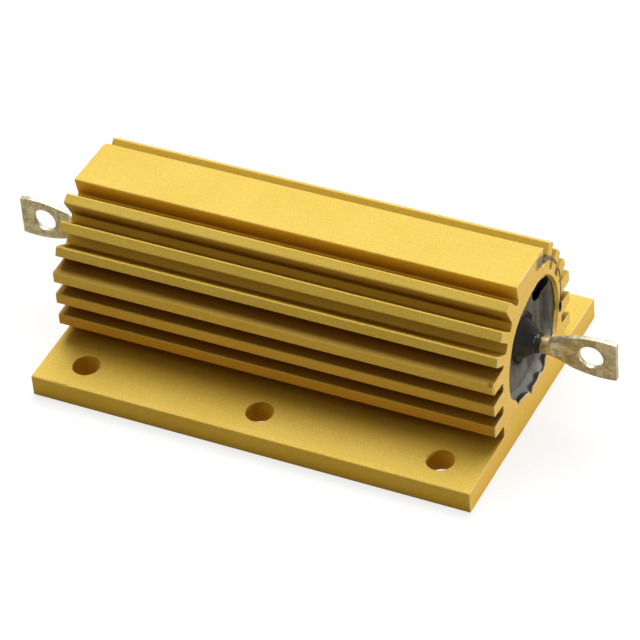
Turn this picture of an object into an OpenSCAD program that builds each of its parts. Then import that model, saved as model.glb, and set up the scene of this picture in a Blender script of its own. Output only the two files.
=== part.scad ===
// Aluminium housed wirewound power resistor, flange mounted, with a lug terminal at each end.
// The housing is one extrusion along X with its flange on the ground plane; +Z is up.
// The origin is under the middle of the housing.

/* [Housing] */
// Length of the extrusion, end face to end face
housing_l = 109.7; // [95:0.1:130]
// Height from the flange's underside to the flat top
housing_h = 41.8; // [40.5:0.1:48]
// Width across the mounting flange
flange_w = 72.5; // [70:0.1:84]
// Thickness of the flange at its outer edge
flange_t = 5.5; // [4:0.1:6.5]
// Rise of the flange's upper face from its edge to the body
flange_rise = 0.8; // [0:0.1:1.5]
// Height of the bore's axis above the flange's underside
bore_z = 20.9; // [20:0.1:22]
// Diameter of the bore through the extrusion
bore_d = 29; // [26:0.1:29.6]
// Least wall between the cap seat and the groove bottoms
groove_wall = 1.2; // [0.8:0.1:1.6]
// Width of the body under the lowest fins
neck_w = 33.6; // [32.8:0.1:36]

/* [Flat top] */
// Width of the flat top
top_w = 15.2; // [13:0.1:16]
// Width of the top rail at the bottom of the groove beside it
top_root_w = 13; // [11:0.1:13.5]
// Depth of the groove between the top rail and the first fin
top_groove = 5; // [3.5:0.1:5.5]

/* [Fins] */
// Width over the straight fins
fin_span = 43.2; // [40:0.1:48]
// Spacing of the straight fins
fin_pitch = 6.1; // [5.6:0.1:6.4]
// Height of the highest straight fin over the bore's axis
fin_z = 2.6; // [2.2:0.1:3.2]
// Number of straight fins on each side
straight_fins = 3; // [1:1:3]
// Tilt of each fanned fin, lowest first
fan_tilt = [20, 33, 54]; // [0:1:80]
// Direction of each fanned fin's tip, seen from the bore's axis
fan_angle = [24, 40, 57]; // [10:1:80]
// Distance of each fanned fin's tip from the bore's axis
fan_reach = [21, 21.2, 22.6]; // [18:0.1:26]
// Thickness of a fanned fin at its tip
fan_tip_t = 2.5; // [1.5:0.1:3]
// Thickness of a straight fin at its tip
fin_tip_t = 3; // [2:0.1:3.4]
// Thickness of a fin at its root
fin_root_t = 3.7; // [2.5:0.1:4]
// Depth of the chamfers on the fin tips
fin_chamfer = 0.6; // [0.2:0.1:1]
// Radius of the groove bottoms
groove_r = 0.6; // [0.1:0.1:0.8]
// Radius of the extrusion's outer edges
edge_r = 0.3; // [0.1:0.1:0.5]

/* [Mounting holes] */
// Diameter of the mounting holes
hole_d = 6.6; // [5:0.1:8]
// Width of the broken edge round each mounting hole
hole_break = 0.25; // [0.05:0.05:0.6]
// Distance between the outer holes along the housing
hole_l = 89; // [76:0.1:92]
// Distance between the two rows of holes
hole_w = 57.2; // [56:0.1:60]

/* [Staked ends] */
// Thickness of the metal lip staked over each end cap
lip_t = 1.2; // [0.8:0.1:2]
// Overlap of the lip on the end cap
lip_overlap = 1.2; // [0.6:0.1:1.2]
// Further overlap where the staking punch struck hardest
punch_overlap = 1.5; // [0.3:0.1:1.8]
// Width of the splits in the lip
split_w = 1.3; // [0.6:0.1:2.5]
// Radius of the punch mark on the end face
punch_r = 15.4; // [15:0.1:16]
// Distance of the punch mark's centre from the bore's axis, across and up
punch_shift = [1.2, 3.4]; // [0:0.1:4]
// Depth of the punch mark
punch_depth = 0.5; // [0.2:0.1:0.9]
// Width of the punch mark
punch_w = 0.8; // [0.4:0.1:1.2]

/* [End caps] */
// Step from the bore out to the cap seat
seat_step = 0.7; // [0.4:0.1:1]
// Thickness of the cap's rim
cap_rim_t = 5; // [3:0.1:8]
// Length of the cap's spigot in the bore
spigot_l = 3; // [1:0.1:6]
// Depth of the cap's dish below its rim
dish_depth = 1.4; // [0.5:0.1:2.5]
// Diameter of the dish's floor
dish_d = 23.6; // [16:0.1:24]
// Width of the slope round the dish
dish_slope = 1.6; // [0.8:0.1:1.8]
// Diameter of the boss at its foot
boss_foot_d = 10.6; // [8:0.1:14]
// Diameter of the boss at its top
boss_top_d = 5.4; // [5:0.1:7.5]
// Height of the boss over the dish's floor
boss_h = 3.9; // [1:0.1:6]
// Diameter of the filling pocket in the cap's rim
pocket_d = 6.2; // [3:0.1:7]
// Depth of the filling pocket below the rim
pocket_depth = 4; // [1.5:0.1:4.5]
// Wall between the filling pocket and the outside of the cap
pocket_wall = 0.5; // [0.3:0.1:1.5]

/* [Terminals] */
// Diameter of the terminal pin
pin_d = 4.2; // [3:0.1:4.6]
// Length of the round pin outside the end face
pin_out = 4.4; // [3:0.1:10]
// Length of the flattened lug
lug_l = 15.9; // [12:0.1:24]
// Width of the lug at its widest
lug_w = 10.4; // [9:0.1:14]
// Distance from the pin to the lug's widest point
lug_belly = 12.2; // [8:0.1:20]
// Thickness of the lug
lug_t = 1.3; // [0.8:0.1:2]
// Diameter of the hole in the lug
lug_hole_d = 5.8; // [3:0.1:6.5]
// Distance from the lug's end to its hole's centre
lug_hole_end = 6.1; // [4.5:0.1:8]
// Radius of the hollow where the pin is pressed flat
press_r = 6; // [3:0.1:12]
// Diameter of the head welded to the ferrule
head_d = 9; // [6:0.1:16]
// Thickness of the head
head_t = 1.4; // [0.8:0.1:3]

/* [Resistance element] */
// Diameter of the ceramic core
core_d = 18; // [12:0.1:18]
// Wall of the ferrules pressed on the core
ferrule_t = 0.8; // [0.5:0.1:1]
// Thickness of a ferrule's end
ferrule_end_t = 1.5; // [0.8:0.1:3]
// Length of a ferrule's skirt on the core
ferrule_l = 9; // [7:0.1:14]
// Diameter of the resistance wire
wire_d = 1; // [0.6:0.1:1.4]
// Spacing of the turns
wire_pitch = 3.2; // [2.4:0.1:5]
// Chamfer on the core's ends
core_chamfer = 0.8; // [0.2:0.1:1.5]

/* [Fits] */
// Clearance round the cap, the filling and the pin
fit = 0.1; // [0.05:0.01:0.2]
// Clearance round the wire
wire_gap = 0.05; // [0.02:0.01:0.2]

/* [Hidden] */
$fn = 64;
over = 0.5; // how far a cutter runs past the face it opens
end_x = housing_l / 2;
bore_r = bore_d / 2;
seat_r = bore_r + seat_step;
hub_r = seat_r + groove_wall;
lip_r = seat_r - lip_overlap;
cap_r = seat_r - fit;
pin_r = pin_d / 2;
hole_rows = [-hole_w / 2, hole_w / 2];
hole_columns = [-hole_l / 2, 0, hole_l / 2];
split_angles = [-126, -99, -69, -28, 6, 84]; // places of the splits round the lip
punch_side = -25; // direction that the lip was driven in from
punch_from = -20; // direction where the punch mark begins
punch_sweep = 98; // length of the punch mark, in degrees
pocket_angle = 54; // direction of the filling pocket

// Places along X, measured inwards from the end face
rim_u = lip_t;
seat_u = rim_u + cap_rim_t;
inner_u = seat_u + spigot_l;
floor_u = rim_u + dish_depth;
ferrule_u = inner_u + head_t;
core_u = ferrule_u + ferrule_end_t;
skirt_u = core_u + ferrule_l;

// Radii of the resistance element, from the core outwards
wire_steps = 16; // straight steps in one turn of the wire
wire_sides = 6;
chord = 1 / cos(180 / wire_steps);
ferrule_r = core_d / 2 + ferrule_t;
coil_r = (core_d / 2 + wire_gap + wire_d / 2) * chord;
lap_r = (ferrule_r + wire_gap + wire_d / 2) * chord;
filling_inner_r = lap_r + wire_d / 2 + wire_gap;

// ---- Housing ----

// One fin pointing along +x from the root to the tip, its axis on y = 0
module fin_2d(length, tip_t) {
    polygon([[-hub_r / 2, -fin_root_t / 2], [0, -fin_root_t / 2],
             [length - fin_chamfer, -tip_t / 2], [length, fin_chamfer - tip_t / 2],
             [length, tip_t / 2 - fin_chamfer], [length - fin_chamfer, tip_t / 2],
             [0, fin_root_t / 2], [-hub_r / 2, fin_root_t / 2]]);
}

// A fin whose tip is at a place given from the bore's axis
module placed_fin_2d(tip, tilt, tip_t) {
    length = fin_span / 2 - neck_w / 2;
    translate(tip) rotate(tilt) translate([-length, 0]) fin_2d(length, tip_t);
}

// The fins of the +y side, with the bore's axis at the origin
module fins_2d() {
    for (i = [0 : straight_fins - 1])
        placed_fin_2d([fin_span / 2, fin_z - i * fin_pitch], 0, fin_tip_t);
    for (i = [0 : len(fan_tilt) - 1])
        placed_fin_2d(fan_reach[i] * [cos(fan_angle[i]), sin(fan_angle[i])], fan_tilt[i], fan_tip_t);
}

// Right half of the section: flange, neck, hub, shoulder, top rail and fins
module half_section_2d() {
    shoulder_z = housing_h - top_groove;
    flange_root = flange_t + flange_rise;
    polygon([[0, 0], [flange_w / 2, 0], [flange_w / 2, flange_t], [neck_w / 2, flange_root],
             [0, flange_root]]);
    square([neck_w / 2, bore_z - fin_pitch / 2]);
    polygon([[0, bore_z], [top_root_w / 2, bore_z], [top_root_w / 2, shoulder_z],
             [top_w / 2, housing_h], [0, housing_h]]);
    square([top_root_w / 2 + fin_root_t / 2, shoulder_z]);
    intersection() {
        translate([0, bore_z]) {
            circle(hub_r);
            fins_2d();
        }
        square([flange_w, housing_h]);
    }
}

module section_2d() {
    offset(r = edge_r, $fn = 16) offset(delta = -edge_r)
        offset(r = -groove_r, $fn = 16) offset(delta = groove_r) {
            half_section_2d();
            mirror([1, 0]) half_section_2d();
        }
}

// Turns a shape drawn up +z so that it runs inwards from the right end face, round the bore's axis
module from_end() {
    translate([end_x, 0, bore_z]) rotate([90, 0, -90]) children();
}

// A child and its copy at the other end
module both_ends() {
    children();
    mirror([1, 0, 0]) children();
}

// The ragged hole that staking leaves in the lip
module lip_hole_2d() {
    intersection() {
        circle(lip_r);
        rotate(180 - punch_side) translate([-punch_overlap, 0]) circle(lip_r);
    }
    for (a = split_angles)
        rotate(180 - a) polygon([[lip_r - 3 * split_w, -split_w / 2], [seat_r - fit, -split_w / 8],
                                 [seat_r - fit, split_w / 8], [lip_r - 3 * split_w, split_w / 2]]);
}

// Groove that the punch leaves in the end face
module punch_mark() {
    translate([-punch_shift[0], punch_shift[1], 0]) rotate(180 - punch_from - punch_sweep)
        rotate_extrude(angle = punch_sweep)
            polygon([[punch_r - punch_w / 2, -over], [punch_r - punch_w / 2, 0],
                     [punch_r, punch_depth], [punch_r + punch_w / 2, 0],
                     [punch_r + punch_w / 2, -over]]);
}

module mounting_hole() {
    top_z = flange_t + flange_rise;
    translate([0, 0, -over]) cylinder(d = hole_d, h = top_z + 2 * over);
    mirror([0, 0, 1]) translate([0, 0, -hole_break])
        cylinder(d1 = hole_d, d2 = hole_d + 2 * hole_break + 2 * over, h = hole_break + over);
}

module housing() {
    color("goldenrod") difference() {
        rotate([90, 0, 90]) linear_extrude(housing_l, center = true) section_2d();
        translate([0, 0, bore_z]) rotate([0, 90, 0])
            cylinder(r = bore_r, h = housing_l - 2 * lip_t, center = true);
        both_ends() from_end() {
            translate([0, 0, lip_t]) cylinder(r = seat_r, h = cap_rim_t);
            translate([0, 0, -over]) linear_extrude(lip_t + 2 * over) lip_hole_2d();
            punch_mark();
        }
        for (x = hole_columns, y = hole_rows) translate([x, y, 0]) mounting_hole();
    }
}

// ---- End caps ----

// Outline of a cap: distance from the axis, then distance inwards from the end face
module cap_outline_2d() {
    hole_r = pin_r + fit;
    polygon([[hole_r, floor_u - boss_h], [boss_top_d / 2, floor_u - boss_h],
             [boss_foot_d / 2, floor_u], [dish_d / 2, floor_u],
             [dish_d / 2 + dish_slope, rim_u], [cap_r, rim_u], [cap_r, seat_u],
             [bore_r - fit, seat_u], [bore_r - fit, inner_u], [hole_r, inner_u]]);
}

module end_cap(side) {
    color("dimgray") mirror([side < 0 ? 1 : 0, 0, 0]) from_end() difference() {
        rotate_extrude() cap_outline_2d();
        rotate(180 - pocket_angle) translate([cap_r - pocket_wall - pocket_d / 2, 0, rim_u - over])
            cylinder(d = pocket_d, h = pocket_depth + over);
    }
}

module end_cap_left() { end_cap(-1); }
module end_cap_right() { end_cap(1); }

// ---- Terminals ----

// Face of the lug: two arcs that meet the pin's width at x = 0
module lug_face_2d() {
    swell = (lug_w - pin_d) / 2;
    side_r = (lug_belly * lug_belly + swell * swell) / (2 * swell);
    intersection() {
        translate([lug_belly, side_r - lug_w / 2]) circle(side_r, $fn = 128);
        translate([lug_belly, lug_w / 2 - side_r]) circle(side_r, $fn = 128);
        translate([0, -lug_w]) square([lug_l, 2 * lug_w]);
    }
}

// Side view of the lug: the pin's thickness pressed down to the lug's by a round tool
module lug_edge_2d() {
    thinning = pin_r - lug_t / 2;
    press_l = sqrt(press_r * press_r - (press_r - thinning) * (press_r - thinning));
    difference() {
        translate([0, -pin_r]) square([lug_l, pin_d]);
        for (s = [-1, 1]) {
            translate([press_l, s * (lug_t / 2 + press_r)]) circle(press_r);
            translate([press_l, s * (lug_t / 2 + pin_d) - pin_d]) square([lug_l, 2 * pin_d]);
        }
    }
}

module lug() {
    widening = (lug_w - pin_d) / 2 / (lug_belly / 3);
    intersection() {
        rotate([90, 0, 0]) linear_extrude(2 * pin_d, center = true) lug_face_2d();
        linear_extrude(2 * lug_w, center = true) lug_edge_2d();
        rotate([0, 90, 0]) cylinder(r1 = pin_r, r2 = pin_r + widening * lug_l, h = lug_l);
    }
}

module terminal(side) {
    pin_l = pin_out + inner_u;
    color("tan") mirror([side < 0 ? 1 : 0, 0, 0]) translate([end_x, 0, bore_z]) difference() {
        union() {
            translate([-inner_u - head_t, 0, 0]) rotate([0, 90, 0]) cylinder(d = head_d, h = head_t);
            translate([-inner_u, 0, 0]) rotate([0, 90, 0]) cylinder(r = pin_r, h = pin_l);
            translate([pin_out, 0, 0]) lug();
        }
        translate([pin_out + lug_l - lug_hole_end, 0, 0]) rotate([90, 0, 0])
            cylinder(d = lug_hole_d, h = 2 * pin_d, center = true);
    }
}

module terminal_left() { terminal(-1); }
module terminal_right() { terminal(1); }

// ---- Resistance element ----

module ceramic_core() {
    core_l = housing_l - 2 * core_u;
    r = core_d / 2;
    color("linen") translate([0, 0, bore_z]) rotate([0, 90, 0]) rotate_extrude()
        polygon([[0, -core_l / 2], [r - core_chamfer, -core_l / 2], [r, core_chamfer - core_l / 2],
                 [r, core_l / 2 - core_chamfer], [r - core_chamfer, core_l / 2], [0, core_l / 2]]);
}

module ferrule(side) {
    color("silver") mirror([side < 0 ? 1 : 0, 0, 0]) from_end() difference() {
        translate([0, 0, ferrule_u]) cylinder(r = ferrule_r, h = skirt_u - ferrule_u);
        translate([0, 0, core_u]) cylinder(d = core_d, h = ferrule_l + over);
    }
}

module ferrule_left() { ferrule(-1); }
module ferrule_right() { ferrule(1); }

// The wire winds along the core and climbs on to the ferrules, where its last turns lie
module resistance_wire() {
    skirt_x = end_x - skirt_u;
    wire_x = skirt_x + 1.5 * wire_pitch;
    climb_to = skirt_x - wire_d;
    climb_from = climb_to - wire_pitch / 2;
    turns = 2 * wire_x / wire_pitch;
    rings = ceil(turns * wire_steps);
    function climb(x) = min(1, max(0, (abs(x) - climb_from) / (climb_to - climb_from)));
    function ring_x(i) = -wire_x + 2 * wire_x * i / rings;
    function ring_r(x) = coil_r + (lap_r - coil_r) * climb(x);
    function on_wire(x, a, s) =
        let (r = ring_r(x) + wire_d / 2 * cos(s)) [x + wire_d / 2 * sin(s), r * cos(a), r * sin(a)];
    points = [for (i = [0 : rings], j = [0 : wire_sides - 1])
        on_wire(ring_x(i), 360 * turns * i / rings, 360 * j / wire_sides)];
    ends = [[for (j = [0 : wire_sides - 1]) j],
            [for (j = [wire_sides - 1 : -1 : 0]) rings * wire_sides + j]];
    sides = [for (i = [0 : rings - 1], j = [0 : wire_sides - 1])
        let (k = (j + 1) % wire_sides, here = i * wire_sides, next = here + wire_sides)
            [here + j, next + j, next + k, here + k]];
    color("slategray") translate([0, 0, bore_z]) polyhedron(points, concat(ends, sides), convexity = 10);
}

// Moulded filling between the element and the bore
module filling() {
    filling_l = housing_l - 2 * inner_u;
    color("gray") translate([0, 0, bore_z]) rotate([0, 90, 0]) difference() {
        cylinder(r = bore_r - fit, h = filling_l, center = true);
        cylinder(r = filling_inner_r, h = filling_l + 2 * over, center = true);
    }
}

housing();
filling();
ceramic_core();
resistance_wire();
ferrule_left();
ferrule_right();
terminal_left();
terminal_right();
end_cap_left();
end_cap_right();
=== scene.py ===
import math
import random

import bpy
from mathutils import Matrix, Vector


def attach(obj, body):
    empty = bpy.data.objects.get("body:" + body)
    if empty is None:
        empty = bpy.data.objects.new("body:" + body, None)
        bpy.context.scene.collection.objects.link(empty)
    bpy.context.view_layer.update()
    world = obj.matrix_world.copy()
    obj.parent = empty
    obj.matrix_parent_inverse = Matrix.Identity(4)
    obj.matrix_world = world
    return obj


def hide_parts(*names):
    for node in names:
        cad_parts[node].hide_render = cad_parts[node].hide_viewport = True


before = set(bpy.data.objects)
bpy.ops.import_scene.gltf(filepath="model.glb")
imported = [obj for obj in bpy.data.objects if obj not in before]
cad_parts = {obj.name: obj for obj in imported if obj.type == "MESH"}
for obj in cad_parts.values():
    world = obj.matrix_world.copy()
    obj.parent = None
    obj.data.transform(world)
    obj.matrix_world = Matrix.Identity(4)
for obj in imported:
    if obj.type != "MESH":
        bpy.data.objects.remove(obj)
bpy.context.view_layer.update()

mm = 0.001
bpy.context.scene.view_settings.view_transform = "Standard"

# Places that several pieces share, in millimetres, as the solids have them
body = {
    "endX": 54.85,
    "boreZ": 20.9,
    "finTipY": 21.6,
}


class Wire:
    # One value or colour on its way through a node tree
    def __init__(self, graph, socket):
        self.graph, self.socket = graph, socket

    def calc(self, operation, first, second):
        return self.graph.node("Math", {"operation": operation}, {0: first, 1: second})

    def __add__(self, other): return self.calc("ADD", self, other)
    def __radd__(self, other): return self.calc("ADD", other, self)
    def __sub__(self, other): return self.calc("SUBTRACT", self, other)
    def __rsub__(self, other): return self.calc("SUBTRACT", other, self)
    def __mul__(self, other): return self.calc("MULTIPLY", self, other)
    def __rmul__(self, other): return self.calc("MULTIPLY", other, self)
    def __truediv__(self, other): return self.calc("DIVIDE", self, other)
    def __pow__(self, other): return self.calc("POWER", self, other)


class Graph:
    # The node tree of one material, or of the world
    def __init__(self, name, owner=None):
        self.owner = owner or bpy.data.materials.new(name)
        self.owner.use_nodes = True
        self.tree = self.owner.node_tree
        self.tree.nodes.clear()

    def node(self, kind, settings=None, sockets=None, out=0):
        made = self.tree.nodes.new("ShaderNode" + kind)
        for key, value in (settings or {}).items():
            setattr(made, key, value)
        for key, value in (sockets or {}).items():
            if isinstance(value, Wire):
                self.tree.links.new(value.socket, made.inputs[key])
            elif isinstance(value, tuple) and len(made.inputs[key].default_value) == 4:
                made.inputs[key].default_value = (*value, 1)
            else:
                made.inputs[key].default_value = value
        return Wire(self, made.outputs[out]) if made.outputs else None

    def place(self):
        return self.node("TexCoord", out="Object")

    def stretched(self, scale, turn=(0, 0, 0)):
        return self.node("Mapping", None, {"Vector": self.place(), "Scale": scale, "Rotation": turn})

    def split(self, vector):
        parts = self.node("SeparateXYZ", None, {0: vector}).socket.node.outputs
        return [Wire(self, part) for part in parts]

    def xyz(self):
        return self.split(self.place())

    def normal(self):
        return self.split(self.node("NewGeometry", out="Normal"))

    def noise(self, scale, detail, rough, vector=None):
        return self.node("TexNoise", None, {"Vector": vector or self.place(), "Scale": scale,
                                            "Detail": detail, "Roughness": rough})

    def ramp(self, value, low, high):
        # 0 below low, 1 above high, eased between them
        return self.node("MapRange", {"interpolation_type": "SMOOTHSTEP"}, {0: value, 1: low, 2: high})

    def mix(self, factor, first, second):
        return self.node("Mix", {"data_type": "RGBA"}, {0: factor, 6: first, 7: second}, 2)

    def absolute(self, value):
        return self.node("Math", {"operation": "ABSOLUTE"}, {0: value})

    def near(self, reach):
        # 1 in the open, towards 0 where other faces are close
        return self.node("AmbientOcclusion", {"samples": 6}, {"Distance": reach}, "AO")

    def edges(self, radius):
        # 0 on a flat face, towards 1 on an edge
        soft = self.node("Bevel", {"samples": 8}, {"Radius": radius})
        hard = self.node("NewGeometry", out="Normal")
        same = self.node("VectorMath", {"operation": "DOT_PRODUCT"}, {0: soft, 1: hard}, "Value")
        return 1 - same

    def bump(self, height, strength, distance):
        return self.node("Bump", None, {"Height": height, "Strength": strength, "Distance": distance})

    def finish(self, **sockets):
        # Base_Color stands for the socket Base Color, and so on
        named = {key.replace("_", " "): value for key, value in sockets.items()}
        surface = self.node("BsdfPrincipled", None, named)
        self.node("OutputMaterial", None, {"Surface": surface})
        return self.owner


goldLook = {
    # The dye, and what it turns to where it is sawn or worn; painted shade where it is hemmed in or low
    # down; painted highlight on the edges
    "colour": (0.90, 0.655, 0.118),
    "deep": (0.85, 0.605, 0.09),
    "speck": (0.45, 0.24, 0.02),
    "sawn": (0.86, 0.58, 0.17),
    # Painted shade: warm near other faces, dark low down and in the grooves
    "warmShade": (0.8, 0.5, 0.035),
    "low": (0.56, 0.24, 0.008),
    "groove": (0.2, 0.062, 0.004),
    # Pale gold for the die lines' wear and for the painted highlight on the edges
    "wearAndHighlight": (0.93, 0.76, 0.42),
    "pale": (0.8, 0.77, 0.7),
    "bare": (0.2, 0.185, 0.16),
    "pitShade": (0.035, 0.028, 0.025),
    "metallic": 0.1,
    "roughness": 0.5,
    "gloss": 0.15,
    # Texture scales: fine grain, soft cloud, lines of the die along x, lines of the saw
    "grain": 3200,
    "cloud": 45,
    "dieLines": (18, 2600, 2600),
    "sawLines": (1, 260, 2400),
    # How far a face looks for others beside it, in metres: for the painted warm shade and the painted
    # shade in the grooves
    "roomReach": 0.014,
    "grooveReach": 0.0055,
    # Heights in metres between which each begins or ends
    "flangeTop": (0.0055, 0.006),
    "firstShelf": (0.006, 0.007),
    "lastShelf": (0.0262, 0.027),
    "straightFins": (0.024, 0.028),
    "lowSides": (0.009, 0.027),
    # Width of the bright edges, partly rubbed wear and partly painted highlight, and of the sawn
    # outline, in metres
    "brightEdgeReach": 0.00022,
    "sawnReach": 0.0006,
    # Scrape of the punch on the end face, and the dent at its lower end with its painted shade, in mm
    "punchCentre": (1.2, 3.4),
    "punchR": 15.5,
    "pit": (16.1, 18.9),
    "pitHalf": (0.9, 1.9),
}


def paintShade(g, base, z, upward, cutFace):
    # Painted shade: warmer near other faces, darker in the grooves, under the fins, on the shelves and
    # on low upright sides
    room = g.near(goldLook["roomReach"])
    openness = g.near(goldLook["grooveReach"])
    upright = 1 - g.ramp(g.absolute(upward), 0.3, 0.6)
    leaning = g.ramp(upward, 0.2, 0.33) * (1 - g.ramp(upward, 0.6, 0.8))
    under = g.ramp(upward, -0.2, -0.5)
    inFlange = 1 - g.ramp(z, *goldLook["flangeTop"])
    clear = 0.68 + 0.24 * (1 - g.ramp(z, *goldLook["straightFins"]))
    closed = (1 - g.ramp(openness, 0.02, clear)) * (1 - leaning) * (1 - 0.7 * inFlange * upright)
    shelf = g.ramp(upward, 0.6, 0.8) * g.ramp(z, *goldLook["firstShelf"])
    shelf = shelf * (1 - g.ramp(z, *goldLook["lastShelf"]))
    lowShade = (1 - g.ramp(z, *goldLook["lowSides"])) * upright * (1 - cutFace) * (1 - inFlange)
    base = g.mix(0.75 * (1 - g.ramp(room, 0.35, 0.95)), base, goldLook["warmShade"])
    base = g.mix(0.9 * closed, base, goldLook["groove"])
    base = g.mix(0.5 * under + 0.5 * shelf, base, goldLook["groove"])
    return g.mix(0.7 * lowShade, base, goldLook["low"])


def punchScrape(g, x, y, z):
    # Where bare grey metal shows on the end face, and the painted shade in the dent below it
    endX = body["endX"]
    atEnd = g.ramp(g.absolute(x), (endX - 0.9) * mm, (endX - 0.7) * mm)
    centreY, centreZ = goldLook["punchCentre"]
    offY, offZ = y - centreY * mm, z - (body["boreZ"] + centreZ) * mm
    reach = (offY * offY + offZ * offZ) ** 0.5
    ragged = (g.noise(500, 3, 0.6) - 0.5) * 0.0004
    across = g.absolute(reach + ragged - goldLook["punchR"] * mm)
    turned = g.node("Math", {"operation": "ARCTAN2"}, {0: offZ, 1: offY})
    width = 0.0003 + 0.0011 * g.ramp(turned, 0.75, 1.25)
    along = g.ramp(turned, -0.42, -0.36) * (1 - g.ramp(turned, 1.36, 1.5))
    bare = atEnd * along * (1 - g.ramp(across, width * 0.8, width * 1.15))
    pitY, pitZ = ((value - centre * mm) / (half * mm) for value, centre, half in
                  zip((y, z), goldLook["pit"], goldLook["pitHalf"]))
    pit = 1 - g.ramp(pitY * pitY + pitZ * pitZ, 0.75, 1.15)
    return bare, pit * g.ramp(x, (endX - 1.2) * mm, (endX - 1) * mm)


def goldAnodised():
    g = Graph("goldAnodised")
    x, y, z = g.xyz()
    grain = g.noise(goldLook["grain"], 2, 0.6)
    cloud = g.noise(goldLook["cloud"], 3, 0.55)
    facing, _, upward = g.normal()
    cutFace = g.ramp(g.absolute(facing), 0.7, 0.9)
    dieLines = g.noise(1, 2, 0.6, g.stretched(goldLook["dieLines"]))
    sawLines = g.noise(1, 2, 0.7, g.stretched(goldLook["sawLines"], (0.5, 0, 0)))
    lines = dieLines * (1 - cutFace) + sawLines * cutFace
    base = g.mix(g.ramp(cloud, 0.3, 0.7), goldLook["deep"], goldLook["colour"])
    base = g.mix(0.75 * cutFace, base, goldLook["sawn"])
    base = g.mix(0.34 * (1 - g.ramp(grain, 0.3, 0.72)), base, goldLook["speck"])
    base = g.mix(0.08 * g.ramp(lines, 0.35, 0.75), base, goldLook["wearAndHighlight"])
    # Painted shade near other faces, in the grooves and low down
    base = paintShade(g, base, z, upward, cutFace)
    # Bright edges, broken up along their length: partly rubbed wear, partly painted highlight
    patchy = g.ramp(g.noise(900, 3, 0.65), 0.42, 0.66)
    wornAndLitEdge = g.ramp(g.edges(goldLook["brightEdgeReach"]), 0.035, 0.22) * (0.25 + 0.75 * patchy)
    base = g.mix(0.55 * wornAndLitEdge, base, goldLook["wearAndHighlight"])
    # Pale bare metal along the sawn outline
    sawnEdge = g.ramp(g.absolute(x), (body["endX"] - 0.45) * mm, (body["endX"] - 0.15) * mm)
    sawnEdge = sawnEdge * g.ramp(g.edges(goldLook["sawnReach"]), 0.015, 0.1)
    sawnEdge = sawnEdge * g.ramp(g.noise(170, 3, 0.65), 0.44, 0.56)
    base = g.mix(0.75 * sawnEdge, base, goldLook["pale"])
    bare, pit = punchScrape(g, x, y, z)
    base = g.mix(0.9 * bare, base, goldLook["bare"])
    # Painted shade: the dent below the scrape is painted black
    base = g.mix(pit, base, goldLook["pitShade"])
    rough = goldLook["roughness"] + 0.16 * (grain - 0.5) + 0.1 * (cloud - 0.5) - 0.1 * wornAndLitEdge
    return g.finish(Base_Color=base, Roughness=rough, Metallic=goldLook["metallic"] + 0.4 * bare,
                    Specular_IOR_Level=goldLook["gloss"],
                    Normal=g.bump(grain * 0.8 + lines * 0.35, 0.35, 0.00006))


mouldingLook = {
    "colour": (0.1, 0.09, 0.084),
    "dark": (0.024, 0.022, 0.021),
    # Paler tones painted as light, on flat faces, low down and on the sill
    "litTone": (0.2, 0.187, 0.175),
    "litSill": (0.36, 0.35, 0.34),
    "roughness": 0.45,
    "gloss": 0.35,
    "streaks": (300, 900, 45),
    "cloud": 160,
    # Heights in metres between which the painted light on the lower part thins out and the painted
    # light on the sill ends
    "litToneEnds": (0.0119, 0.0239),
    "sillEnds": (0.0129, 0.0149),
}


def darkMoulding():
    g = Graph("darkMoulding")
    streak = g.noise(1, 3, 0.6, g.stretched(mouldingLook["streaks"]))
    cloud = g.noise(mouldingLook["cloud"], 3, 0.6)
    base = g.mix(g.ramp(streak, 0.35, 0.68), mouldingLook["dark"], mouldingLook["colour"])
    _, _, z = g.xyz()
    facing, _, _ = g.normal()
    # Painted light: flat faces and the lower part are paler, in patches
    flat = g.ramp(g.absolute(facing), 0.75, 0.95)
    lowPart = 1 - g.ramp(z, *mouldingLook["litToneEnds"])
    base = g.mix((0.3 * flat + 0.4 * lowPart) * g.ramp(cloud, 0.4, 0.7), base, mouldingLook["litTone"])
    # Painted light: the lowest part of the slope is paler, where it faces up
    litSill = (1 - flat) * (1 - g.ramp(z, *mouldingLook["sillEnds"])) * g.ramp(cloud, 0.3, 0.6)
    base = g.mix(0.55 * litSill, base, mouldingLook["litSill"])
    rough = mouldingLook["roughness"] + 0.3 * (streak - 0.5) + 0.15 * (cloud - 0.5)
    return g.finish(Base_Color=base, Roughness=rough, Specular_IOR_Level=mouldingLook["gloss"],
                    Normal=g.bump(streak + 0.4 * cloud, 0.5, 0.00012))


resinLook = {
    "dark": (0.012, 0.011, 0.01),
    "light": (0.04, 0.037, 0.033),
    "roughness": 0.24,
    "gloss": 0.32,
    "cloud": 260,
    "ripples": 420,
}


def glossyResin():
    g = Graph("glossyResin")
    cloud = g.noise(resinLook["cloud"], 3, 0.6)
    base = g.mix(g.ramp(cloud, 0.4, 0.7), resinLook["dark"], resinLook["light"])
    rough = resinLook["roughness"] + 0.25 * (cloud - 0.4)
    return g.finish(Base_Color=base, Roughness=rough, Specular_IOR_Level=resinLook["gloss"],
                    Normal=g.bump(g.noise(resinLook["ripples"], 3, 0.6), 0.6, 0.0002))


tinLook = {
    "colour": (0.86, 0.81, 0.6),
    "dull": (0.46, 0.42, 0.28),
    "haze": (0.85, 0.82, 0.7),
    "pits": (0.13, 0.105, 0.055),
    "goldReflection": (0.7, 0.53, 0.2),
    "rootDark": (0.03, 0.024, 0.015),
    "brightWearAndHighlight": (0.95, 0.92, 0.82),
    "roughness": 0.38,
    "metallic": 0.6,
    "mottle": 620,
    "speck": 2600,
    "cloud": 120,
    # Distances from the end face, in metres: darker root, painted gold reflection near the root,
    # painted highlight on the pressed neck
    "rootDarkEnds": (0.0023, 0.0028),
    "goldReflectionEnds": (0.0035, 0.0085),
    "neckStarts": (0.0046, 0.0056),
    "neckEnds": (0.0062, 0.0085),
    "brightEdgeReach": 0.0005,
}


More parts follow.
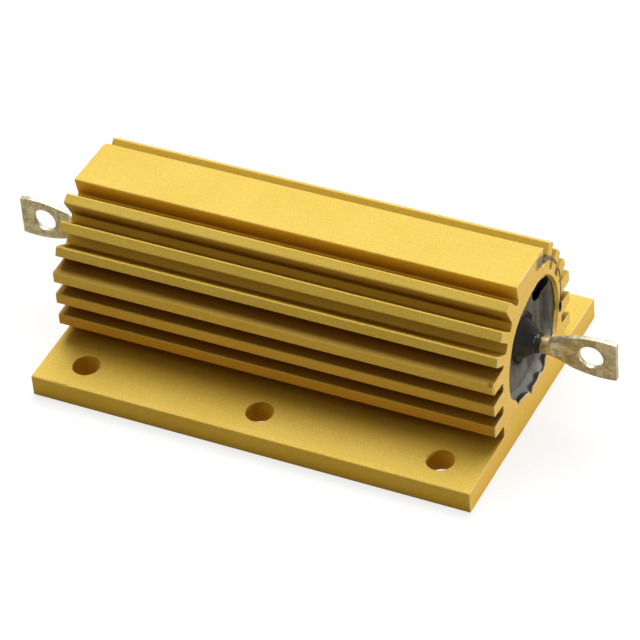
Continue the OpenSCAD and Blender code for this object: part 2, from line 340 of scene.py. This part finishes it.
def dullTin():
    g = Graph("dullTin")
    mottle = g.noise(tinLook["mottle"], 4, 0.7)
    speck = g.noise(tinLook["speck"], 3, 0.65)
    cloud = g.noise(tinLook["cloud"], 2, 0.5)
    base = g.mix(g.ramp(mottle, 0.36, 0.66), tinLook["dull"], tinLook["colour"])
    base = g.mix(0.3 * g.ramp(cloud, 0.45, 0.7), base, tinLook["haze"])
    base = g.mix(0.45 * g.ramp(speck, 0.5, 0.75), base, tinLook["pits"])
    x, _, _ = g.xyz()
    out = g.absolute(x) - body["endX"] * mm
    root = 1 - g.ramp(out, *tinLook["goldReflectionEnds"])
    # Painted reflection: the gold of the housing near the root
    base = g.mix(root * (0.35 + 0.5 * g.ramp(cloud, 0.35, 0.6)), base, tinLook["goldReflection"])
    # Darker near the end face
    rootDark = 1 - g.ramp(out + 0.0012 * (cloud + mottle - 1), *tinLook["rootDarkEnds"])
    base = g.mix(0.9 * rootDark, base, tinLook["rootDark"])
    base = g.mix(0.6 * root * (1 - g.ramp(mottle, 0.38, 0.52)), base, tinLook["pits"])
    # Painted highlight on the pressed neck
    neckHighlight = g.ramp(out, *tinLook["neckStarts"]) * (1 - g.ramp(out, *tinLook["neckEnds"]))
    neckHighlight = neckHighlight * g.ramp(mottle, 0.35, 0.55)
    base = g.mix(0.6 * neckHighlight, base, tinLook["brightWearAndHighlight"])
    # Bright edges: partly rubbed wear, partly painted highlight
    patchy = g.ramp(g.noise(1100, 2, 0.6), 0.3, 0.6)
    wornAndLitEdge = g.ramp(g.edges(tinLook["brightEdgeReach"]), 0.02, 0.13) * (0.45 + 0.55 * patchy)
    base = g.mix(0.8 * wornAndLitEdge, base, tinLook["brightWearAndHighlight"])
    rough = tinLook["roughness"] + 0.3 * (mottle - 0.5) - 0.08 * wornAndLitEdge - 0.1 * neckHighlight
    return g.finish(Base_Color=base, Roughness=rough, Metallic=tinLook["metallic"],
                    Normal=g.bump(mottle + 0.5 * speck, 0.45, 0.00008))


tornLook = {
    # Darker and lighter tone of each. The split by height is painted light: olive shade at the top, a
    # cream highlight on the low edge that faces up
    "shadedOlive": ((0.38, 0.27, 0.07), (0.62, 0.46, 0.16)),
    "litCream": ((0.7, 0.55, 0.25), (0.98, 0.93, 0.78)),
    # Heights in metres between which the cream highlight turns to the olive shade
    "creamEnds": (0.0149, 0.0189),
    "roughness": 0.35,
    "metallic": 0.25,
    "tears": 1500,
}


def tornMetal():
    g = Graph("tornMetal")
    tear = g.noise(tornLook["tears"], 4, 0.7)
    _, _, z = g.xyz()
    # Painted light: the low edge is lit cream, the top is shaded olive
    low = 1 - g.ramp(z, *tornLook["creamEnds"])
    shadedOlive = g.mix(g.ramp(tear, 0.35, 0.65), *tornLook["shadedOlive"])
    litCream = g.mix(g.ramp(tear, 0.3, 0.55), *tornLook["litCream"])
    return g.finish(Base_Color=g.mix(low, shadedOlive, litCream), Roughness=tornLook["roughness"] + 0.25 * tear,
                    Metallic=tornLook["metallic"], Normal=g.bump(tear, 0.5, 0.0001))


gold = goldAnodised()
moulding = darkMoulding()
resin = glossyResin()
tin = dullTin()
torn = tornMetal()

# Finishes of the hidden inner pieces, and the nodes that wear each
innerLook = {
    "steatite": {"nodes": ["ceramic_core"], "colour": (0.86, 0.83, 0.76), "dark": (0.74, 0.7, 0.62),
                 "roughness": 0.6, "metallic": 0.0, "grain": (1400, 1400, 1400)},
    "cement": {"nodes": ["filling"], "colour": (0.42, 0.41, 0.39), "dark": (0.28, 0.27, 0.25),
               "roughness": 0.8, "metallic": 0.0, "grain": (1800, 1800, 1800)},
    "alloy": {"nodes": ["resistance_wire"], "colour": (0.46, 0.44, 0.41), "dark": (0.32, 0.3, 0.27),
              "roughness": 0.35, "metallic": 1.0, "grain": (2200, 2200, 2200)},
    "steel": {"nodes": ["ferrule_left", "ferrule_right"], "colour": (0.62, 0.61, 0.59),
              "dark": (0.48, 0.47, 0.45), "roughness": 0.3, "metallic": 1.0, "grain": (3600, 900, 900)},
}


def dressInnerPieces():
    for name, look in innerLook.items():
        g = Graph(name)
        fine = g.noise(1, 3, 0.6, g.stretched(look["grain"]))
        base = g.mix(g.ramp(fine, 0.3, 0.7), look["dark"], look["colour"])
        rough = look["roughness"] + 0.2 * (g.noise(150, 2, 0.5) - 0.5)
        finish = g.finish(Base_Color=base, Roughness=rough, Metallic=look["metallic"],
                          Normal=g.bump(fine, 0.4, 0.00006))
        for node in look["nodes"]:
            slots = bpy.data.objects[node].data.materials
            slots.clear()
            slots.append(finish)


dressInnerPieces()
print("materials made, inner pieces given their finish")


def selectOnly(piece):
    bpy.ops.object.select_all(action="DESELECT")
    piece.select_set(True)
    bpy.context.view_layer.objects.active = piece


def editSelection(piece, kind, chosen):
    # Opens edit mode with only the chosen vertices, edges or faces selected
    selectOnly(piece)
    bpy.ops.object.mode_set(mode="EDIT")
    bpy.ops.mesh.select_mode(type=kind)
    bpy.ops.mesh.select_all(action="DESELECT")
    bpy.ops.object.mode_set(mode="OBJECT")
    parts = {"VERT": piece.data.vertices, "EDGE": piece.data.edges, "FACE": piece.data.polygons}[kind]
    for part in parts:
        part.select = bool(chosen(part))
    bpy.ops.object.mode_set(mode="EDIT")


def copyOfNode(node, name):
    # The solid's triangles as one clean, merged mesh of a new object
    source = bpy.data.objects[node]
    mesh = source.data.copy()
    mesh.transform(source.matrix_world)
    mesh.materials.clear()
    piece = bpy.data.objects.new(name, mesh)
    bpy.context.collection.objects.link(piece)
    selectOnly(piece)
    bpy.ops.object.mode_set(mode="EDIT")
    bpy.ops.mesh.select_all(action="SELECT")
    bpy.ops.mesh.remove_doubles(threshold=0.000002)
    bpy.ops.mesh.dissolve_limited(angle_limit=math.radians(0.6))
    bpy.ops.object.mode_set(mode="OBJECT")
    return piece


def applyAll(piece):
    selectOnly(piece)
    for modifier in list(piece.modifiers):
        bpy.ops.object.modifier_apply(modifier=modifier.name)


def cutWith(piece, cutter):
    modifier = piece.modifiers.new("cut", "BOOLEAN")
    modifier.operation, modifier.solver, modifier.object = "DIFFERENCE", "EXACT", cutter
    applyAll(piece)
    bpy.data.objects.remove(cutter, do_unlink=True)


def flattenPlace(piece):
    selectOnly(piece)
    bpy.ops.object.transform_apply(location=True, rotation=True, scale=True)


def addCylinder(steps, radius, depth, place, turn=(0, math.pi / 2, 0)):
    bpy.ops.object.select_all(action="DESELECT")
    bpy.ops.mesh.primitive_cylinder_add(vertices=steps, radius=radius * mm, depth=depth * mm,
                                        location=Vector(place) * mm, rotation=turn)
    cylinder = bpy.context.object
    flattenPlace(cylinder)
    return cylinder


def bevelMarked(piece, width, isMarked):
    # Rounds the edges that the test picks from (both ends in mm, the tilts of both faces)
    mesh = piece.data
    weights = mesh.attributes.new("bevel_weight_edge", "FLOAT", "EDGE")
    facesOf = {}
    for face in mesh.polygons:
        for key in face.edge_keys:
            facesOf.setdefault(key, []).append(face.normal)
    for edge in mesh.edges:
        normals = facesOf.get(edge.key, [])
        if len(normals) == 2:
            ends = [mesh.vertices[i].co / mm for i in edge.vertices]
            weights.data[edge.index].value = float(isMarked(ends, normals))
    bevel = piece.modifiers.new("edges", "BEVEL")
    bevel.width, bevel.segments, bevel.limit_method = width * mm, 2, "WEIGHT"
    bevel.use_clamp_overlap = False
    applyAll(piece)


def shade(piece, degrees, flatArea):
    # Rounds the shading of small faces and keeps the broad ones flat
    selectOnly(piece)
    bpy.ops.object.shade_smooth_by_angle(angle=math.radians(degrees))
    for face in piece.data.polygons:
        if face.area > flatArea * mm * mm:
            face.use_smooth = False


def dress(piece, slot, *materials):
    for material in materials:
        piece.data.materials.append(material)
    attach(piece, "root")


def mirrorX(piece, name):
    # A piece's copy for the other end, with its faces turned the right way round
    twin = bpy.data.objects.new(name, piece.data.copy())
    bpy.context.collection.objects.link(twin)
    twin.data.transform(Matrix.Scale(-1, 4, (1, 0, 0)))
    twin.data.flip_normals()
    return twin


def polar(co):
    # Distance and direction from the bore's axis, in mm and degrees from +y towards +z
    y, z = co.y / mm, co.z / mm - body["boreZ"]
    return math.hypot(y, z), math.degrees(math.atan2(z, y))


housingLook = {
    # Millimetres and degrees. Rounding of the sawn outline
    "edge": 0.12,
    # Fanned fins: direction and reach of the tip from the bore's axis, tilt, tip thickness
    "fanned": [(57, 22.6, 54, 2.5), (40, 21.2, 33, 2.5), (24, 21.0, 20, 2.5)],
    # Straight fins: heights of their middles, tip thickness
    "straight": ((23.5, 17.4, 11.3), 3.0),
    # What lies this near to a sharp corner is drawn in to this share of its distance
    "chamferReach": 0.95,
    "crispness": 0.4,
    # Upper grooves' lower corners: place in the solids, and how far the sawn floor runs on
    "floors": [((11.25, 33.4), (0.4, -1.05)), ((13.8, 29.6), (0.75, -1.1))],
    "floorReach": 0.67,
    # Small dents: place, half sizes and turn about x
    "nicks": [((-45.8, -36.3, 5.6), (0.9, 0.45, 0.35), 0),
              ((-43.9, -36.35, 5.6), (0.5, 0.3, 0.25), 0),
              ((54.1, -21.3, 24.7), (0.8, 1.1, 0.55), 40),
              ((54.9, -21.5, 23.6), (0.4, 0.5, 1.3), 0),
              ((55.0, 16.1, 18.9), (0.9, 0.85, 1.9), 0),
              ((-54.9, 7.4, 41.9), (1.0, 0.8, 0.4), 0),
              ((-54.9, 5.2, 41.95), (0.6, 1.2, 0.3), 0),
              ((54.95, -36.3, 5.0), (0.4, 0.35, 0.6), 0)],
}

lipLook = {
    # Radius and depth in mm of the recess that the lip covers, and how finely it is drawn
    "ringR": 15.3,
    "ringU": 1.25,
    "steps": 240,
    "rings": 7,
    # Torn edge of the lip: direction in degrees, radius
    "edge": [(-180, 12.9), (-166, 13.5), (-149, 14.1), (-133, 13.8), (-125.5, 14.75), (-119, 13.5),
             (-106, 13.1), (-98, 13.4), (-94.5, 14.8), (-90, 13.3), (-80, 13.9), (-71, 13.5),
             (-66, 14.8), (-61, 14.4), (-56, 13.3), (-44, 13.9), (-31, 14.75), (-20, 14.9),
             (-11, 14.7), (-5.5, 15.05), (0, 14.8), (8, 14.9), (13, 14.95), (19, 15.05), (41, 14.95),
             (48, 15.08), (55, 14.5), (72, 14.2), (82, 13.5), (104, 12.6), (130, 12.9),
             (155, 12.5), (180, 12.9)],
    # Depth that the lip is driven in: direction, depth
    "driven": [(-180, 0.08), (-85, 0.1), (-45, 0.2), (-28, 0.45), (-15, 0.7), (35, 0.75), (58, 0.35),
               (80, 0.12), (180, 0.08)],
    # Thickness of the torn edge: direction, thickness
    "thick": [(-180, 0.42), (-32, 0.3), (-18, 1.1), (50, 1.1), (70, 0.4), (180, 0.42)],
    "ragged": 0.16,
    # How many waves of the ragged edge go round the bore
    "waves": (7, 12, 19, 31, 47),
}


def alongTable(table, angle):
    for (a0, v0), (a1, v1) in zip(table, table[1:]):
        if a0 <= angle <= a1:
            return v0 + (v1 - v0) * (angle - a0) / (a1 - a0)
    return table[-1][1]


def lipProfile(angle, wobble):
    # Places of the lip's rings as (depth, radius), from its outside over the torn edge and back under
    outer, under = lipLook["ringR"], lipLook["ringU"]
    edge = min(alongTable(lipLook["edge"], angle) + wobble, outer - 0.22)
    driven = alongTable(lipLook["driven"], angle)
    shares = [(k + 1) / lipLook["rings"] for k in range(lipLook["rings"])]
    rings = [(driven * share ** 0.8, outer + (edge - outer) * share) for share in shares]
    back = min(driven + alongTable(lipLook["thick"], angle), under - 0.05)
    rings += [(driven + 0.08, edge - 0.05), ((driven + back) / 2, edge - 0.02 + wobble * 0.5),
              (back, edge + 0.04), (back, (edge + outer) / 2), (back + 0.02, outer - 0.03),
              (under, outer)]
    return rings


def rollLip(housing, side, seed):
    # Turns the recess round the bore into a lip: its wall goes, and its rim is drawn inwards
    def onRing(co, depth):
        r, _ = polar(co)
        return abs(r - lipLook["ringR"]) < 0.01 and abs(co.x * side / mm - body["endX"] + depth) < 0.01

    vertices = housing.data.vertices
    editSelection(housing, "FACE", lambda face: abs(face.normal.x) < 0.05 and all(
        onRing(vertices[i].co, 0) or onRing(vertices[i].co, lipLook["ringU"]) for i in face.vertices))
    bpy.ops.mesh.delete(type="FACE")
    bpy.ops.object.mode_set(mode="OBJECT")
    vertices = housing.data.vertices
    editSelection(housing, "EDGE", lambda edge: all(onRing(vertices[i].co, 0) for i in edge.vertices))
    rnd = random.Random(seed)
    waves = [(n, rnd.uniform(0, 6.28), rnd.uniform(0.3, 0.8) * 5 / n) for n in lipLook["waves"]]
    for ring in range(len(lipProfile(0, 0))):
        oldVertices, oldFaces = len(housing.data.vertices), len(housing.data.polygons)
        bpy.ops.mesh.extrude_edges_move()
        bpy.ops.object.mode_set(mode="OBJECT")
        for vertex in housing.data.vertices[oldVertices:]:
            _, angle = polar(vertex.co)
            wobble = sum(size * math.sin(math.radians(n * angle) + phase) for n, phase, size in waves)
            # The far end's lip is whole, so it keeps to the table's quiet stretch
            seen = angle if side > 0 else 130 + 0.05 * angle
            depth, r = lipProfile(seen, lipLook["ragged"] * wobble)[ring]
            a = math.radians(angle)
            vertex.co = Vector((side * (body["endX"] - depth), r * math.cos(a),
                                body["boreZ"] + r * math.sin(a))) * mm
        for face in housing.data.polygons[oldFaces:]:
            face.material_index = int(lipLook["rings"] <= ring <= lipLook["rings"] + 2)
        bpy.ops.object.mode_set(mode="EDIT")
    bpy.ops.mesh.select_all(action="SELECT")
    bpy.ops.mesh.remove_doubles(threshold=0.000003)
    bpy.ops.mesh.select_all(action="SELECT")
    bpy.ops.mesh.fill_holes(sides=6)
    bpy.ops.mesh.select_all(action="SELECT")
    bpy.ops.mesh.normals_make_consistent(inside=False)
    bpy.ops.object.mode_set(mode="OBJECT")


def addNick(place, size, turn):
    bpy.ops.object.select_all(action="DESELECT")
    bpy.ops.mesh.primitive_ico_sphere_add(subdivisions=2, radius=mm, location=Vector(place) * mm,
                                          rotation=(math.radians(turn), 0, 0), scale=size)
    cutter = bpy.context.object
    flattenPlace(cutter)
    centre = Vector(place) * mm
    rnd = random.Random(7)
    for vertex in cutter.data.vertices:
        vertex.co = centre + (vertex.co - centre) * rnd.uniform(0.82, 1.18)
    return cutter


def isSawnEdge(ends, normals):
    # The outline that the saw left round each end face, but not the bore
    atEnd = all(abs(abs(co.x) - body["endX"]) < 0.002 for co in ends)
    outside = all(math.hypot(co.y, co.z - body["boreZ"]) > 16.2 for co in ends)
    tilts = sorted(abs(normal.x) for normal in normals)
    return atEnd and outside and tilts[1] > 0.99 and tilts[0] < 0.1


def finCorners():
    # The sharp corners that the chamfers on the fin tips cut off, as distance out and height
    for angle, reach, tilt, thick in housingLook["fanned"]:
        a, t = math.radians(angle), math.radians(tilt)
        for half in (-thick / 2, thick / 2):
            yield (reach * math.cos(a) - half * math.sin(t),
                   body["boreZ"] + reach * math.sin(a) + half * math.cos(t))
    heights, thick = housingLook["straight"]
    for height in heights:
        for half in (-thick / 2, thick / 2):
            yield (body["finTipY"], height + half)


def squareFins(housing):
    # Draws the chamfers in to crisp corners, and opens the floors of the upper grooves
    corners = list(finCorners())
    for vertex in housing.data.vertices:
        side, out, z = math.copysign(1, vertex.co.y), abs(vertex.co.y) / mm, vertex.co.z / mm
        for cornerY, cornerZ in corners:
            if math.hypot(out - cornerY, z - cornerZ) < housingLook["chamferReach"]:
                out = cornerY + (out - cornerY) * housingLook["crispness"]
                z = cornerZ + (z - cornerZ) * housingLook["crispness"]
                break
        for (rootY, rootZ), (moveY, moveZ) in housingLook["floors"]:
            if math.hypot(out - rootY, z - rootZ) < housingLook["floorReach"]:
                out, z = out + moveY, z + moveZ
                break
        vertex.co.y, vertex.co.z = side * out * mm, z * mm


def makeHousing():
    housing = copyOfNode("housing", "finnedHousing")
    bevelMarked(housing, housingLook["edge"], isSawnEdge)
    squareFins(housing)
    for side in (-1, 1):
        # A clear round recess, a little deeper than the plain lip that it removes
        depth = lipLook["ringU"] + 1
        place = (side * (body["endX"] - lipLook["ringU"] + depth / 2), 0, body["boreZ"])
        cutWith(housing, addCylinder(lipLook["steps"], lipLook["ringR"], depth, place))
    housing.data.materials.append(gold)
    housing.data.materials.append(torn)
    rollLip(housing, 1, 3)
    rollLip(housing, -1, 11)
    for nick in housingLook["nicks"]:
        cutWith(housing, addNick(*nick))
    shade(housing, 30, 1.5)
    dress(housing, "gold_anodised")
    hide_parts("housing")
    return housing


housing = makeHousing()
print("housing made:", len(housing.data.polygons), "faces")


capLook = {
    # In mm: U is depth from the end face, R is radius from the bore's axis
    "floorU": 2.6,
    "rimU": 0.64,
    "lowRimU": 1.22,
    "dishR": 12.5,
    "slopeR": 14.5,
    "outerR": 15.1,
    "bossFoot": 5.3,
    "bossTop": 2.8,
    "bossH": 3.9,
    "holeR": 2.15,
    "seatU": 6.2,
    "boreR": 14.4,
    "backU": 9.2,
    "steps": 128,
    # How far the rim is pressed back: direction, share
    "pressed": [(-180, 0), (-36, 0), (-18, 1), (50, 1), (68, 0), (180, 0)],
    # Moulded recess at the rim: direction, distance from the bore's axis, radius, depth
    "pocket": (38, 12.0, 3.05, 4.2),
}


def spunPiece(name, profile, steps):
    # A closed profile of (depth from the end face, radius), spun round the bore's axis
    bpy.ops.object.select_all(action="DESELECT")
    bpy.ops.mesh.primitive_plane_add(size=mm, location=(0, 0, 0))
    piece = bpy.context.object
    piece.name = name
    bpy.ops.object.mode_set(mode="EDIT")
    bpy.ops.mesh.select_mode(type="VERT")
    bpy.ops.mesh.select_all(action="SELECT")
    bpy.ops.mesh.merge(type="CENTER")
    u, r = profile[0]
    bpy.ops.transform.translate(value=Vector((body["endX"] - u, r, body["boreZ"])) * mm)
    for (u0, r0), (u1, r1) in zip(profile, profile[1:] + profile[:1]):
        bpy.ops.mesh.extrude_vertices_move(
            TRANSFORM_OT_translate={"value": ((u0 - u1) * mm, (r1 - r0) * mm, 0)})
    bpy.ops.mesh.select_all(action="SELECT")
    bpy.ops.mesh.remove_doubles(threshold=0.000001)
    bpy.ops.mesh.select_all(action="SELECT")
    bpy.ops.mesh.spin(steps=steps, angle=2 * math.pi, center=(0, 0, body["boreZ"] * mm), axis=(1, 0, 0))
    bpy.ops.mesh.select_all(action="SELECT")
    bpy.ops.mesh.remove_doubles(threshold=0.000003)
    bpy.ops.mesh.select_all(action="SELECT")
    bpy.ops.mesh.normals_make_consistent(inside=False)
    bpy.ops.object.mode_set(mode="OBJECT")
    return piece


def makeCap():
    c = capLook
    top, foot, floor = c["floorU"] - c["bossH"], c["bossFoot"], c["floorU"]
    # From the pin's hole over the boss and down its cone, with small rounds at the edges
    profile = [(top + 0.9, c["holeR"]), (top - 0.55, c["holeR"]), (top - 0.7, c["holeR"] + 0.12),
               (top - 0.6, c["holeR"] + 0.25), (top - 0.1, c["holeR"] + 0.36),
               (top, c["bossTop"] - 0.15), (top + 0.06, c["bossTop"]), (top + 0.2, c["bossTop"] + 0.12)]
    profile += [(top + c["bossH"] * t, c["bossTop"] + 0.1 + (foot - c["bossTop"]) * t ** 1.2)
                for t in (0.25, 0.5, 0.75, 0.92)]
    # The groove round its foot, the dish, the flared rim and the seat in the bore
    profile += [(floor + 0.45, foot + 0.15), (floor + 0.45, foot + 0.45), (floor - 0.16, foot + 0.6),
                (floor - 0.18, foot + 0.8), (floor, foot + 1.05)]
    profile += [(floor, foot + 1.05 + (c["dishR"] - foot - 1.05) * t) for t in (0.33, 0.66, 1)]
    profile += [(floor - 0.12, c["dishR"] + 0.12), (c["rimU"] + 0.1, c["slopeR"] - 0.12),
                (c["rimU"], c["slopeR"] + 0.1), (c["rimU"], c["outerR"]), (c["seatU"], c["outerR"]),
                (c["seatU"], c["boreR"]), (c["backU"], c["boreR"]), (c["backU"], c["holeR"])]
    cap = spunPiece("endCapRight", profile, c["steps"])
    for vertex in cap.data.vertices:
        # The moulding's flash stands unevenly round the foot of the boss
        r, angle = polar(vertex.co)
        a = math.radians(angle)
        if vertex.co.x / mm > body["endX"] - floor - 0.3 and foot + 0.1 < r < foot + 1.0:
            flash = 0.5 + 0.5 * math.sin(3 * a + 0.7) * math.cos(7 * a + 2) + 0.35 * math.sin(17 * a)
            vertex.co.x += 0.16 * mm * flash
            vertex.co.y += 0.25 * mm * flash * math.cos(a)
            vertex.co.z += 0.25 * mm * flash * math.sin(a)
    twin = mirrorX(cap, "endCapLeft")
    for vertex in cap.data.vertices:
        # The rim is pressed back where the lip was driven in
        r, angle = polar(vertex.co)
        if vertex.co.x / mm > body["endX"] - c["rimU"] - 0.2 and r > c["slopeR"] - 0.2:
            pressed = alongTable(c["pressed"], angle)
            vertex.co.x -= pressed * (c["lowRimU"] - c["rimU"]) * mm
    angle, place, radius, depth = c["pocket"]
    a = math.radians(angle)
    pocketY, pocketZ = place * math.cos(a), body["boreZ"] + place * math.sin(a)
    for piece, side, node in ((cap, 1, "end_cap_right"), (twin, -1, "end_cap_left")):
        middle = (side * (body["endX"] - c["lowRimU"] - depth / 2 + 0.5), pocketY, pocketZ)
        cutWith(piece, addCylinder(48, radius, depth + 1, middle))
        for face in piece.data.polygons:
            r, _ = polar(face.center)
            offY, offZ = face.center.y / mm - pocketY, face.center.z / mm - pocketZ
            inPocket = math.hypot(offY, offZ) < radius + 0.05
            outerWall = abs(face.normal.x) < 0.5 and r > place + 1
            # Resin on the boss; the pocket's faces are given the black resin as painted shade
            face.material_index = int(r < foot + 0.5 or inPocket and not outerWall)
        shade(piece, 28, 1000)
        dress(piece, "end_cap_moulding", moulding, resin)
        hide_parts(node)


makeCap()
print("end caps made")


terminalLook = {
    # In mm, lengths along x from the end face: pin and head
    "pinR": 2.1,
    "pinOut": 4.4,
    "headR": 4.5,
    "headFrom": -10.6,
    "headTo": -9.2,
    # Lug: radius of the pressing rolls, half thickness, half width, and its lengths from the pin
    "pressR": 6.0,
    "halfT": 0.65,
    "halfW": 5.2,
    "belly": 12.2,
    "length": 15.9,
    "corner": 0.22,
    "holeR": 2.9,
    "holeAt": 9.8,
    "edge": 0.16,
    "cornerSteps": 8,
    # Sections of the lug, by their distance from the end of the pin
    "stations": (0, 0.3, 0.7, 1.1, 1.5, 1.9, 2.3, 2.7, 3.1, 3.5, 4.0, 4.6, 5.4, 6.4, 7.6, 9, 10.5,
                 12.2, 14),
}


def roundedSection(x, halfY, halfZ, corner):
    # A rectangle with round corners across the pin, in mm from the bore's axis
    steps = terminalLook["cornerSteps"]
    points = []
    for quarter, (sy, sz) in enumerate(((1, 1), (-1, 1), (-1, -1), (1, -1))):
        for k in range(steps):
            a = math.radians(90 * (quarter + (k + 0.5) / steps))
            points.append(Vector((body["endX"] + x, sy * (halfY - corner) + corner * math.cos(a),
                                  body["boreZ"] + sz * (halfZ - corner) + corner * math.sin(a))) * mm)
    return points


def terminalSections():
    t = terminalLook
    pin, head = t["pinR"], t["headR"]
    yield (t["headFrom"], head - 0.1, head - 0.1, head - 0.1)
    yield (t["headFrom"] + 0.1, head, head, head)
    yield (t["headTo"] - 0.1, head, head, head)
    yield (t["headTo"], head - 0.1, head - 0.1, head - 0.1)
    yield (t["headTo"], pin + 0.1, pin + 0.1, pin + 0.1)
    for x in (t["headTo"] + 0.1, -4.5, 0.0, 0.6 * t["pinOut"], t["pinOut"] - 0.4):
        yield (x, pin, pin, pin)
    thinning = pin - t["halfT"]
    pressL = math.sqrt(t["pressR"] ** 2 - (t["pressR"] - thinning) ** 2)
    swell = t["halfW"] - pin
    sideR = (t["belly"] ** 2 + swell ** 2) / (2 * swell)
    for x in (*t["stations"], t["length"] - t["corner"]):
        fall = max(0, pressL - x)
        halfY = t["halfT"] + t["pressR"] - math.sqrt(t["pressR"] ** 2 - fall ** 2)
        halfZ = t["halfW"] - sideR + math.sqrt(sideR ** 2 - (x - t["belly"]) ** 2)
        ease = max(0.0, 1 - x / (pressL + 1.2)) ** 1.4
        corner = min(halfY, t["corner"] + (pin - t["corner"]) * ease)
        yield (t["pinOut"] + x, halfY, halfZ, corner)
    tip = t["pinOut"] + t["length"]
    yield (tip - 0.06, t["halfT"] - 0.06, halfZ - 0.12, t["corner"] * 0.7)
    yield (tip, t["halfT"] - 0.2, halfZ - 0.3, t["corner"] * 0.5)


def makeTerminal():
    t = terminalLook
    sections = list(terminalSections())
    bpy.ops.object.select_all(action="DESELECT")
    bpy.ops.mesh.primitive_circle_add(vertices=4 * t["cornerSteps"], radius=mm, fill_type="NGON",
                                      rotation=(math.pi / 2, 0, math.pi / 2))
    terminal = bpy.context.object
    terminal.name = "lugTerminalRight"
    flattenPlace(terminal)
    order = sorted(terminal.data.vertices, key=lambda v: math.atan2(v.co.z, v.co.y) % (2 * math.pi))
    for vertex, point in zip(order, roundedSection(*sections[0])):
        vertex.co = point
    rank = {vertex.index: k for k, vertex in enumerate(order)}
    editSelection(terminal, "FACE", lambda face: True)
    for section in sections[1:]:
        old = len(terminal.data.vertices)
        bpy.ops.mesh.extrude_region_move()
        bpy.ops.object.mode_set(mode="OBJECT")
        fresh = terminal.data.vertices[old:]
        points = roundedSection(*section)
        before = {tuple(round(c, 8) for c in terminal.data.vertices[i].co): k for i, k in rank.items()}
        rank = {}
        for vertex in fresh:
            k = before[tuple(round(c, 8) for c in vertex.co)]
            rank[vertex.index] = k
            vertex.co = points[k]
        bpy.ops.object.mode_set(mode="EDIT")
    bpy.ops.mesh.select_all(action="SELECT")
    bpy.ops.mesh.normals_make_consistent(inside=False)
    bpy.ops.object.mode_set(mode="OBJECT")
    holeX = body["endX"] + t["pinOut"] + t["holeAt"]
    cutWith(terminal, addCylinder(64, t["holeR"], 6, (holeX, 0, body["boreZ"]), (math.pi / 2, 0, 0)))

    def isHoleEdge(ends, normals):
        tilts = sorted(abs(normal.y) for normal in normals)
        onHole = all(abs(math.hypot(co.x - holeX, co.z - body["boreZ"]) - t["holeR"]) < 0.01
                     for co in ends)
        return onHole and tilts[1] > 0.9 and tilts[0] < 0.3

    bevelMarked(terminal, t["edge"], isHoleEdge)
    shade(terminal, 32, 4)
    twin = mirrorX(terminal, "lugTerminalLeft")
    for piece, node in ((terminal, "terminal_right"), (twin, "terminal_left")):
        dress(piece, "tinned_terminal", tin)
        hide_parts(node)


makeTerminal()
print("terminals made")


studio = {
    # Floor: its grey to the camera, the colour it bounces, share and strength of its glow
    "floor": 0.9,
    "bounce": (0.6, 0.53, 0.38),
    "floorGlow": 0.7,
    "glow": 1.1,
    # Sky: strength as a light, and in reflections
    "sky": 0.015,
    "mirrored": 0.6,
    # Soft suns: strength, width in degrees, direction that the light comes from, colour
    "suns": [(3.0, 46, (-0.12, 0.46, 1.0), (1.0, 1.0, 1.0)),
             (2.95, 26, (1.0, 0.2, 0.05), (1.0, 0.98, 0.94)),
             (0.5, 40, (-0.7, -0.6, 0.7), (1.0, 0.9, 0.72))],
}


def makeFloor():
    bpy.ops.object.select_all(action="DESELECT")
    bpy.ops.mesh.primitive_plane_add(size=30, location=(0, 0, -0.00005))
    floor = bpy.context.object
    floor.name = "floor"
    g = Graph("paleFloor")
    seen = g.node("LightPath", out="Is Camera Ray")
    paint = g.mix(seen, studio["bounce"], (studio["floor"],) * 3)
    matt = g.node("BsdfDiffuse", None, {"Color": paint})
    glow = g.node("Emission", None, {"Color": (1.0, 1.0, 1.0), "Strength": studio["glow"]})
    surface = g.node("MixShader", None, {0: studio["floorGlow"] * seen, 1: matt, 2: glow})
    g.node("OutputMaterial", None, {"Surface": surface})
    floor.data.materials.append(g.owner)


def makeSky():
    # White to the camera, a softer white in reflections and dim as a light
    g = Graph("sky", bpy.data.worlds.new("sky"))
    bpy.context.scene.world = g.owner
    seen = g.node("LightPath", out="Is Camera Ray")
    mirrored = g.node("LightPath", out="Is Glossy Ray")
    dim = studio["sky"]
    strength = dim + (1 - dim) * seen + (studio["mirrored"] - dim) * mirrored
    light = g.node("Background", None, {"Color": (1.0, 1.0, 1.0), "Strength": strength})
    g.node("OutputWorld", None, {"Surface": light})


def makeSuns():
    for strength, width, place, colour in studio["suns"]:
        bpy.ops.object.light_add(type="SUN", location=Vector(place) * 0.5)
        sun = bpy.context.object
        sun.data.energy, sun.data.angle, sun.data.color = strength, math.radians(width), colour
        sun.rotation_euler = Vector(place).to_track_quat("Z", "Y").to_euler()


cameraLook = {
    # Degrees, metres, and the lens in mm
    "azimuth": 28.27,
    "elevation": 39.25,
    "roll": -4.49,
    "distance": 0.8057,
    "aim": (0.00362, -0.00333, 0.01431),
    "lens": 198.65,
}


def makeCamera():
    c = cameraLook
    a, e, t = (math.radians(c[key]) for key in ("azimuth", "elevation", "roll"))
    back = Vector((math.sin(a) * math.cos(e), -math.cos(a) * math.cos(e), math.sin(e)))
    level = Vector((math.cos(a), math.sin(a), 0))
    upright = back.cross(level)
    right = level * math.cos(t) + upright * math.sin(t)
    up = upright * math.cos(t) - level * math.sin(t)
    data = bpy.data.cameras.new("camera")
    data.lens, data.sensor_width, data.clip_start, data.clip_end = c["lens"], 36, 0.01, 50
    camera = bpy.data.objects.new("camera", data)
    bpy.context.collection.objects.link(camera)
    turn = Matrix((right, up, back)).transposed().to_4x4()
    camera.matrix_world = Matrix.Translation(Vector(c["aim"]) + back * c["distance"]) @ turn
    bpy.context.scene.camera = camera


makeFloor()
makeSky()
makeSuns()
makeCamera()
print("studio made")
